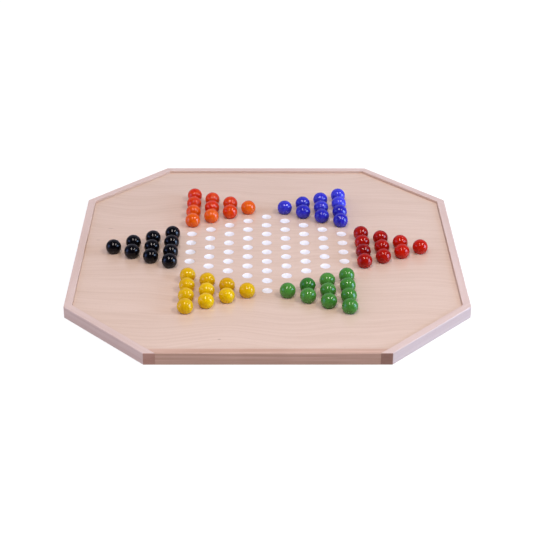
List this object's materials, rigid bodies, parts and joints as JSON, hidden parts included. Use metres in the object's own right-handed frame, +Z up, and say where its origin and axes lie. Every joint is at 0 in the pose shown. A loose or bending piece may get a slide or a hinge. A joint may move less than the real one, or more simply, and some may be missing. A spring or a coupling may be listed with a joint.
{
  "type": "chinese checkers board",
  "caption": "Octagonal wood board with a raised edging, a six-pointed star of shallow dimples, and loose glass marbles filling the star's points.",
  "frame": {"origin": "centre of the board's flat underside", "axes": "+Z up, +Y towards the back side of the board, +X to the right; the star's black and red points lie on the X axis"},
  "size_m": [0.397, 0.397, 0.0239],
  "materials": {
    "panel_wood": "pale veneer under a matt clear lacquer, centre dimples painted white",
    "edging_wood": "pale solid wood under a matt clear lacquer",
    "black_glass": "opaque glossy black glass with faint swirls",
    "red_glass": "opaque glossy red glass with faint swirls",
    "orange_glass": "opaque glossy orange glass with faint swirls",
    "blue_glass": "opaque glossy blue glass with faint swirls",
    "yellow_glass": "opaque glossy yellow glass with faint swirls",
    "green_glass": "opaque glossy green glass with faint swirls"
  },
  "bodies": {
    "board": {"board_panel": "panel_wood", "edge_strip_front": "edging_wood", "edge_strip_back": "edging_wood", "edge_strip_left": "edging_wood", "edge_strip_right": "edging_wood", "edge_strips_corner": "edging_wood"},
    "marble_black_1": {"marble_black_1": "black_glass"},
    "marble_black_2": {"marble_black_2": "black_glass"},
    "marble_black_3": {"marble_black_3": "black_glass"},
    "marble_black_4": {"marble_black_4": "black_glass"},
    "marble_black_5": {"marble_black_5": "black_glass"},
    "marble_black_6": {"marble_black_6": "black_glass"},
    "marble_black_7": {"marble_black_7": "black_glass"},
    "marble_black_8": {"marble_black_8": "black_glass"},
    "marbles_black_pair": {"marbles_black_pair": "black_glass"},
    "marble_red_1": {"marble_red_1": "red_glass"},
    "marble_red_2": {"marble_red_2": "red_glass"},
    "marble_red_3": {"marble_red_3": "red_glass"},
    "marble_red_4": {"marble_red_4": "red_glass"},
    "marble_red_5": {"marble_red_5": "red_glass"},
    "marble_red_6": {"marble_red_6": "red_glass"},
    "marble_red_7": {"marble_red_7": "red_glass"},
    "marble_red_8": {"marble_red_8": "red_glass"},
    "marbles_red_pair": {"marbles_red_pair": "red_glass"},
    "marble_orange_1": {"marble_orange_1": "orange_glass"},
    "marble_orange_2": {"marble_orange_2": "orange_glass"},
    "marble_orange_3": {"marble_orange_3": "orange_glass"},
    "marble_orange_4": {"marble_orange_4": "orange_glass"},
    "marble_orange_5": {"marble_orange_5": "orange_glass"},
    "marble_orange_6": {"marble_orange_6": "orange_glass"},
    "marble_orange_7": {"marble_orange_7": "orange_glass"},
    "marble_orange_8": {"marble_orange_8": "orange_glass"},
    "marbles_orange_pair": {"marbles_orange_pair": "orange_glass"},
    "marble_blue_1": {"marble_blue_1": "blue_glass"},
    "marble_blue_2": {"marble_blue_2": "blue_glass"},
    "marble_blue_3": {"marble_blue_3": "blue_glass"},
    "marble_blue_4": {"marble_blue_4": "blue_glass"},
    "marble_blue_5": {"marble_blue_5": "blue_glass"},
    "marble_blue_6": {"marble_blue_6": "blue_glass"},
    "marble_blue_7": {"marble_blue_7": "blue_glass"},
    "marble_blue_8": {"marble_blue_8": "blue_glass"},
    "marbles_blue_pair": {"marbles_blue_pair": "blue_glass"},
    "marble_yellow_1": {"marble_yellow_1": "yellow_glass"},
    "marble_yellow_2": {"marble_yellow_2": "yellow_glass"},
    "marble_yellow_3": {"marble_yellow_3": "yellow_glass"},
    "marble_yellow_4": {"marble_yellow_4": "yellow_glass"},
    "marble_yellow_5": {"marble_yellow_5": "yellow_glass"},
    "marble_yellow_6": {"marble_yellow_6": "yellow_glass"},
    "marble_yellow_7": {"marble_yellow_7": "yellow_glass"},
    "marble_yellow_8": {"marble_yellow_8": "yellow_glass"},
    "marbles_yellow_pair": {"marbles_yellow_pair": "yellow_glass"},
    "marble_green_1": {"marble_green_1": "green_glass"},
    "marble_green_2": {"marble_green_2": "green_glass"},
    "marble_green_3": {"marble_green_3": "green_glass"},
    "marble_green_4": {"marble_green_4": "green_glass"},
    "marble_green_5": {"marble_green_5": "green_glass"},
    "marble_green_6": {"marble_green_6": "green_glass"},
    "marble_green_7": {"marble_green_7": "green_glass"},
    "marble_green_8": {"marble_green_8": "green_glass"},
    "marbles_green_pair": {"marbles_green_pair": "green_glass"}
  },
  "joints": [
    {"name": "marble_black_1_lift", "type": "slide", "parent": "board", "child": "marble_black_1", "axis": [0, 0, 1], "range_m": [0, 0.04]},
    {"name": "marble_black_2_lift", "type": "slide", "parent": "board", "child": "marble_black_2", "axis": [0, 0, 1], "range_m": [0, 0.04]},
    {"name": "marble_black_3_lift", "type": "slide", "parent": "board", "child": "marble_black_3", "axis": [0, 0, 1], "range_m": [0, 0.04]},
    {"name": "marble_black_4_lift", "type": "slide", "parent": "board", "child": "marble_black_4", "axis": [0, 0, 1], "range_m": [0, 0.04]},
    {"name": "marble_black_5_lift", "type": "slide", "parent": "board", "child": "marble_black_5", "axis": [0, 0, 1], "range_m": [0, 0.04]},
    {"name": "marble_black_6_lift", "type": "slide", "parent": "board", "child": "marble_black_6", "axis": [0, 0, 1], "range_m": [0, 0.04]},
    {"name": "marble_black_7_lift", "type": "slide", "parent": "board", "child": "marble_black_7", "axis": [0, 0, 1], "range_m": [0, 0.04]},
    {"name": "marble_black_8_lift", "type": "slide", "parent": "board", "child": "marble_black_8", "axis": [0, 0, 1], "range_m": [0, 0.04]},
    {"name": "marbles_black_pair_lift", "type": "slide", "parent": "board", "child": "marbles_black_pair", "axis": [0, 0, 1], "range_m": [0, 0.04]},
    {"name": "marble_red_1_lift", "type": "slide", "parent": "board", "child": "marble_red_1", "axis": [0, 0, 1], "range_m": [0, 0.04]},
    {"name": "marble_red_2_lift", "type": "slide", "parent": "board", "child": "marble_red_2", "axis": [0, 0, 1], "range_m": [0, 0.04]},
    {"name": "marble_red_3_lift", "type": "slide", "parent": "board", "child": "marble_red_3", "axis": [0, 0, 1], "range_m": [0, 0.04]},
    {"name": "marble_red_4_lift", "type": "slide", "parent": "board", "child": "marble_red_4", "axis": [0, 0, 1], "range_m": [0, 0.04]},
    {"name": "marble_red_5_lift", "type": "slide", "parent": "board", "child": "marble_red_5", "axis": [0, 0, 1], "range_m": [0, 0.04]},
    {"name": "marble_red_6_lift", "type": "slide", "parent": "board", "child": "marble_red_6", "axis": [0, 0, 1], "range_m": [0, 0.04]},
    {"name": "marble_red_7_lift", "type": "slide", "parent": "board", "child": "marble_red_7", "axis": [0, 0, 1], "range_m": [0, 0.04]},
    {"name": "marble_red_8_lift", "type": "slide", "parent": "board", "child": "marble_red_8", "axis": [0, 0, 1], "range_m": [0, 0.04]},
    {"name": "marbles_red_pair_lift", "type": "slide", "parent": "board", "child": "marbles_red_pair", "axis": [0, 0, 1], "range_m": [0, 0.04]},
    {"name": "marble_orange_1_lift", "type": "slide", "parent": "board", "child": "marble_orange_1", "axis": [0, 0, 1], "range_m": [0, 0.04]},
    {"name": "marble_orange_2_lift", "type": "slide", "parent": "board", "child": "marble_orange_2", "axis": [0, 0, 1], "range_m": [0, 0.04]},
    {"name": "marble_orange_3_lift", "type": "slide", "parent": "board", "child": "marble_orange_3", "axis": [0, 0, 1], "range_m": [0, 0.04]},
    {"name": "marble_orange_4_lift", "type": "slide", "parent": "board", "child": "marble_orange_4", "axis": [0, 0, 1], "range_m": [0, 0.04]},
    {"name": "marble_orange_5_lift", "type": "slide", "parent": "board", "child": "marble_orange_5", "axis": [0, 0, 1], "range_m": [0, 0.04]},
    {"name": "marble_orange_6_lift", "type": "slide", "parent": "board", "child": "marble_orange_6", "axis": [0, 0, 1], "range_m": [0, 0.04]},
    {"name": "marble_orange_7_lift", "type": "slide", "parent": "board", "child": "marble_orange_7", "axis": [0, 0, 1], "range_m": [0, 0.04]},
    {"name": "marble_orange_8_lift", "type": "slide", "parent": "board", "child": "marble_orange_8", "axis": [0, 0, 1], "range_m": [0, 0.04]},
    {"name": "marbles_orange_pair_lift", "type": "slide", "parent": "board", "child": "marbles_orange_pair", "axis": [0, 0, 1], "range_m": [0, 0.04]},
    {"name": "marble_blue_1_lift", "type": "slide", "parent": "board", "child": "marble_blue_1", "axis": [0, 0, 1], "range_m": [0, 0.04]},
    {"name": "marble_blue_2_lift", "type": "slide", "parent": "board", "child": "marble_blue_2", "axis": [0, 0, 1], "range_m": [0, 0.04]},
    {"name": "marble_blue_3_lift", "type": "slide", "parent": "board", "child": "marble_blue_3", "axis": [0, 0, 1], "range_m": [0, 0.04]},
    {"name": "marble_blue_4_lift", "type": "slide", "parent": "board", "child": "marble_blue_4", "axis": [0, 0, 1], "range_m": [0, 0.04]},
    {"name": "marble_blue_5_lift", "type": "slide", "parent": "board", "child": "marble_blue_5", "axis": [0, 0, 1], "range_m": [0, 0.04]},
    {"name": "marble_blue_6_lift", "type": "slide", "parent": "board", "child": "marble_blue_6", "axis": [0, 0, 1], "range_m": [0, 0.04]},
    {"name": "marble_blue_7_lift", "type": "slide", "parent": "board", "child": "marble_blue_7", "axis": [0, 0, 1], "range_m": [0, 0.04]},
    {"name": "marble_blue_8_lift", "type": "slide", "parent": "board", "child": "marble_blue_8", "axis": [0, 0, 1], "range_m": [0, 0.04]},
    {"name": "marbles_blue_pair_lift", "type": "slide", "parent": "board", "child": "marbles_blue_pair", "axis": [0, 0, 1], "range_m": [0, 0.04]},
    {"name": "marble_yellow_1_lift", "type": "slide", "parent": "board", "child": "marble_yellow_1", "axis": [0, 0, 1], "range_m": [0, 0.04]},
    {"name": "marble_yellow_2_lift", "type": "slide", "parent": "board", "child": "marble_yellow_2", "axis": [0, 0, 1], "range_m": [0, 0.04]},
    {"name": "marble_yellow_3_lift", "type": "slide", "parent": "board", "child": "marble_yellow_3", "axis": [0, 0, 1], "range_m": [0, 0.04]},
    {"name": "marble_yellow_4_lift", "type": "slide", "parent": "board", "child": "marble_yellow_4", "axis": [0, 0, 1], "range_m": [0, 0.04]},
    {"name": "marble_yellow_5_lift", "type": "slide", "parent": "board", "child": "marble_yellow_5", "axis": [0, 0, 1], "range_m": [0, 0.04]},
    {"name": "marble_yellow_6_lift", "type": "slide", "parent": "board", "child": "marble_yellow_6", "axis": [0, 0, 1], "range_m": [0, 0.04]},
    {"name": "marble_yellow_7_lift", "type": "slide", "parent": "board", "child": "marble_yellow_7", "axis": [0, 0, 1], "range_m": [0, 0.04]},
    {"name": "marble_yellow_8_lift", "type": "slide", "parent": "board", "child": "marble_yellow_8", "axis": [0, 0, 1], "range_m": [0, 0.04]},
    {"name": "marbles_yellow_pair_lift", "type": "slide", "parent": "board", "child": "marbles_yellow_pair", "axis": [0, 0, 1], "range_m": [0, 0.04]},
    {"name": "marble_green_1_lift", "type": "slide", "parent": "board", "child": "marble_green_1", "axis": [0, 0, 1], "range_m": [0, 0.04]},
    {"name": "marble_green_2_lift", "type": "slide", "parent": "board", "child": "marble_green_2", "axis": [0, 0, 1], "range_m": [0, 0.04]},
    {"name": "marble_green_3_lift", "type": "slide", "parent": "board", "child": "marble_green_3", "axis": [0, 0, 1], "range_m": [0, 0.04]},
    {"name": "marble_green_4_lift", "type": "slide", "parent": "board", "child": "marble_green_4", "axis": [0, 0, 1], "range_m": [0, 0.04]},
    {"name": "marble_green_5_lift", "type": "slide", "parent": "board", "child": "marble_green_5", "axis": [0, 0, 1], "range_m": [0, 0.04]},
    {"name": "marble_green_6_lift", "type": "slide", "parent": "board", "child": "marble_green_6", "axis": [0, 0, 1], "range_m": [0, 0.04]},
    {"name": "marble_green_7_lift", "type": "slide", "parent": "board", "child": "marble_green_7", "axis": [0, 0, 1], "range_m": [0, 0.04]},
    {"name": "marble_green_8_lift", "type": "slide", "parent": "board", "child": "marble_green_8", "axis": [0, 0, 1], "range_m": [0, 0.04]},
    {"name": "marbles_green_pair_lift", "type": "slide", "parent": "board", "child": "marbles_green_pair", "axis": [0, 0, 1], "range_m": [0, 0.04]}
  ]
}
